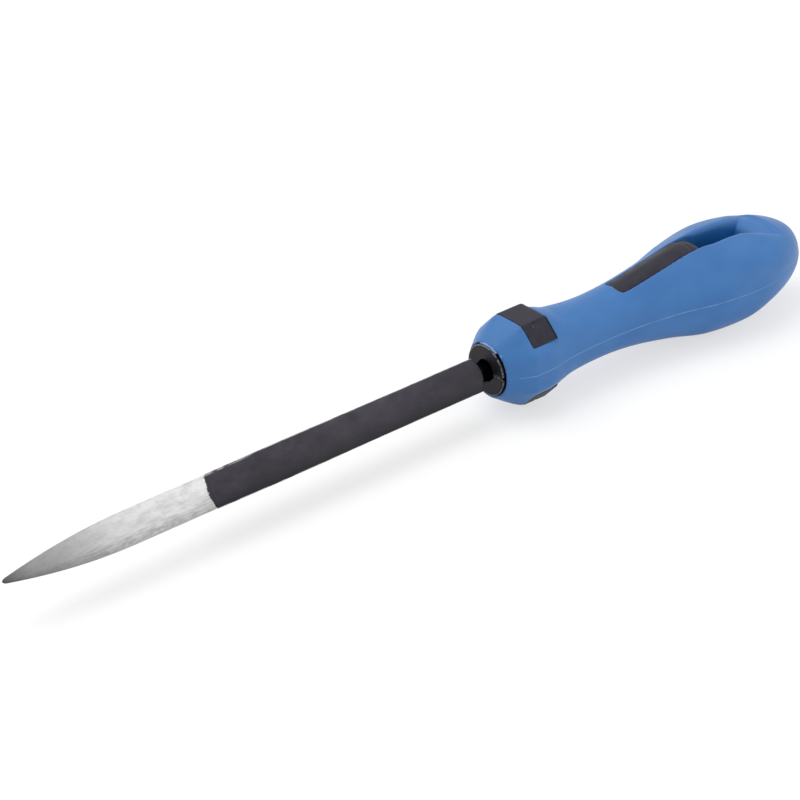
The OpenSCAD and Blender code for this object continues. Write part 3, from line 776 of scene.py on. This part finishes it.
# three-edged blade lofted from the point to the shoulder, with the tapered tang behind it
def makeBlade():
    b = bladeShape
    start, stop = b["shoulder"]
    ground, leaf = b["groundFrom"], b["leafFrom"]
    xs = np.concatenate([
        -b["length"] + (leaf + b["length"]) * np.linspace(0, 1, 70, endpoint=False) ** 1.8,
        np.linspace(leaf, ground - 0.4, 26), np.linspace(ground - 0.1, ground + 0.4, 4),
        np.linspace(ground + 2, start, 90), np.linspace(start, stop, 8)[1:],
    ])
    shares = np.array([0, 0.2, 0.4, 0.58, 0.74, 0.86, 0.94, 0.98, 1.0])
    shares = np.concatenate([-shares[:0:-1], shares])
    verts, rub, across = [], [], []
    for x in xs:
        bare = 1 - b["bareLoss"] * min(max((x - b["bareFrom"]) / b["bareRun"], 0), 1)
        strip = b["stripShare"] * min(max((b["stripEnd"] - x) / b["stripRun"], 0), 1)
        a, land, uneven = bladeSection(x)
        reach = math.sqrt(land ** 2 - a ** 2)
        lift = (x - start) / (stop - start)
        cap = land * (1 - (1 - b["shoulderEnd"]) * max(lift, 0))
        for turn in (30, 150, 270):
            t = math.radians(turn)
            for share in shares:
                off = share * reach
                r = min(math.hypot(a, off), cap)
                t2 = t + math.atan2(off, a)
                y, z = r * math.cos(t2), r * math.sin(t2)
                wave = noise.noise(Vector((x / 9, y / 5, z / 5 + turn))) * (1 - share ** 4) * uneven
                verts.append((x, y - wave * math.cos(t), z - wave * math.sin(t)))
                beside = max(0.25 if abs(share) > 0.97 else 0, strip if share < -0.9 else 0)
                rub.append(bare if abs(share) == 1 else beside)
                across.append(share)
    faces = tubeFaces(len(xs), 3 * len(shares)) + tubeFaces(3, 8, first=len(verts))
    reach, wide, thick, left = b["tang"]
    for x, k in ((stop - 0.5, 1), (0.0, 1 - 0.5 / reach), (reach, left)):
        for y, z in ((-1, -0.9), (-0.95, -1), (0.95, -1), (1, -0.9), (1, 0.9), (0.95, 1), (-0.95, 1), (-1, 0.9)):
            verts.append((x, y * wide * k / 2, z * thick * k / 2))
            rub.append(0)
            across.append(0.8)
    mesh = bpy.data.meshes.new("blade")
    mesh.from_pydata(verts, [], faces)
    tidy = bmesh.new()
    tidy.from_mesh(mesh)
    bmesh.ops.recalc_face_normals(tidy, faces=tidy.faces)
    tidy.to_mesh(mesh)
    tidy.free()
    markOn(mesh, "rub", rub)
    markOn(mesh, "across", across)
    piece = addPiece("threeEdgedBlade", mesh, bladeSteel, "blade")
    mesh.set_sharp_from_angle(angle=math.radians(28))
    return piece


makeGrip()
makeSeam()
makeFlash()
makePad("rollStopTop", 1)
makePad("rollStopUnder", -1)
makePanel()
makeSleeve()
makeCollet()
makeBlade()


# studio: white floor that keeps a soft shadow, white surroundings, a soft box above and one to the right
studio = {
    "room": 0.5, "sweep": 0.72, "sweepTowards": (0.1, 0.9, 0.42),
    "floor": 0.86, "floorSeen": 0.4, "floorGlow": 0.63, "floorSheen": 0.25, "floorLow": -0.0002, "floorReach": 4,
    "above": {"at": (-0.3, 0.4, 1.45), "size": 1.3, "power": 11.0},
    "right": {"at": (0.86, -0.98, 0.46), "size": 0.8, "power": 2.7},
}


def softBox(name, box):
    lamp = bpy.data.lights.new(name, "AREA")
    lamp.shape, lamp.size, lamp.energy = "SQUARE", box["size"], box["power"]
    o = bpy.data.objects.new(name, lamp)
    o.location = box["at"]
    o.rotation_mode = "QUATERNION"
    o.rotation_quaternion = (Vector((0, 0, 0.016)) - Vector(box["at"])).to_track_quat("-Z", "Y")
    bpy.context.scene.collection.objects.link(o)


# one value for what the camera sees and another for what lights the tool
def seenOr(tree, direct, other):
    path = tree.nodes.new("ShaderNodeLightPath").outputs
    mask = mathOf(tree, "MAXIMUM", path["Is Camera Ray"], path["Is Transmission Ray"])
    return blend(tree, mask, other, direct)


# white sweep behind the tool, dimmer room in front of it
def makeRoom(s):
    world = bpy.data.worlds.new("studio")
    bpy.context.scene.world = world
    world.use_nodes = True
    tree = world.node_tree
    back = tree.nodes["Background"]
    back.inputs["Color"].default_value = (1, 1, 1, 1)
    side = put(tree, "ShaderNodeVectorMath", {"operation": "DOT_PRODUCT"})
    feed(tree, side.inputs[0], tree.nodes.new("ShaderNodeTexCoord").outputs["Generated"])
    feed(tree, side.inputs[1], s["sweepTowards"])
    light = between(tree, side.outputs["Value"], -0.5, 0.7, s["room"], s["sweep"])
    feed(tree, back.inputs["Strength"], seenOr(tree, 1.0, light))


def makeFloor(s):
    r, z = s["floorReach"], s["floorLow"]
    mesh = bpy.data.meshes.new("floor")
    mesh.from_pydata([(-r, -r, z), (r, -r, z), (r, r, z), (-r, r, z)], [], [(0, 1, 2, 3)])
    floor = bpy.data.objects.new("floor", mesh)
    bpy.context.scene.collection.objects.link(floor)
    mat = bpy.data.materials.new("paleFloor")
    mat.use_nodes = True
    tree = mat.node_tree
    shader = tree.nodes["Principled BSDF"]
    tone = put(tree, "ShaderNodeCombineColor")
    for channel in tone.inputs:
        feed(tree, channel, seenOr(tree, s["floorSeen"], s["floor"]))
    feed(tree, shader.inputs["Base Color"], tone.outputs[0])
    shader.inputs["Roughness"].default_value = 1
    shader.inputs["Specular IOR Level"].default_value = 0
    shader.inputs["Emission Color"].default_value = (1, 1, 1, 1)
    glossy = tree.nodes.new("ShaderNodeLightPath").outputs["Is Glossy Ray"]
    glow = seenOr(tree, s["floorGlow"], times(tree, glossy, s["floorSheen"]))
    feed(tree, shader.inputs["Emission Strength"], glow)
    mesh.materials.append(mat)


makeRoom(studio)
makeFloor(studio)
softBox("softBoxAbove", studio["above"])
softBox("softBoxRight", studio["right"])
bpy.context.scene.view_settings.view_transform = "Standard"
print("studio lit")
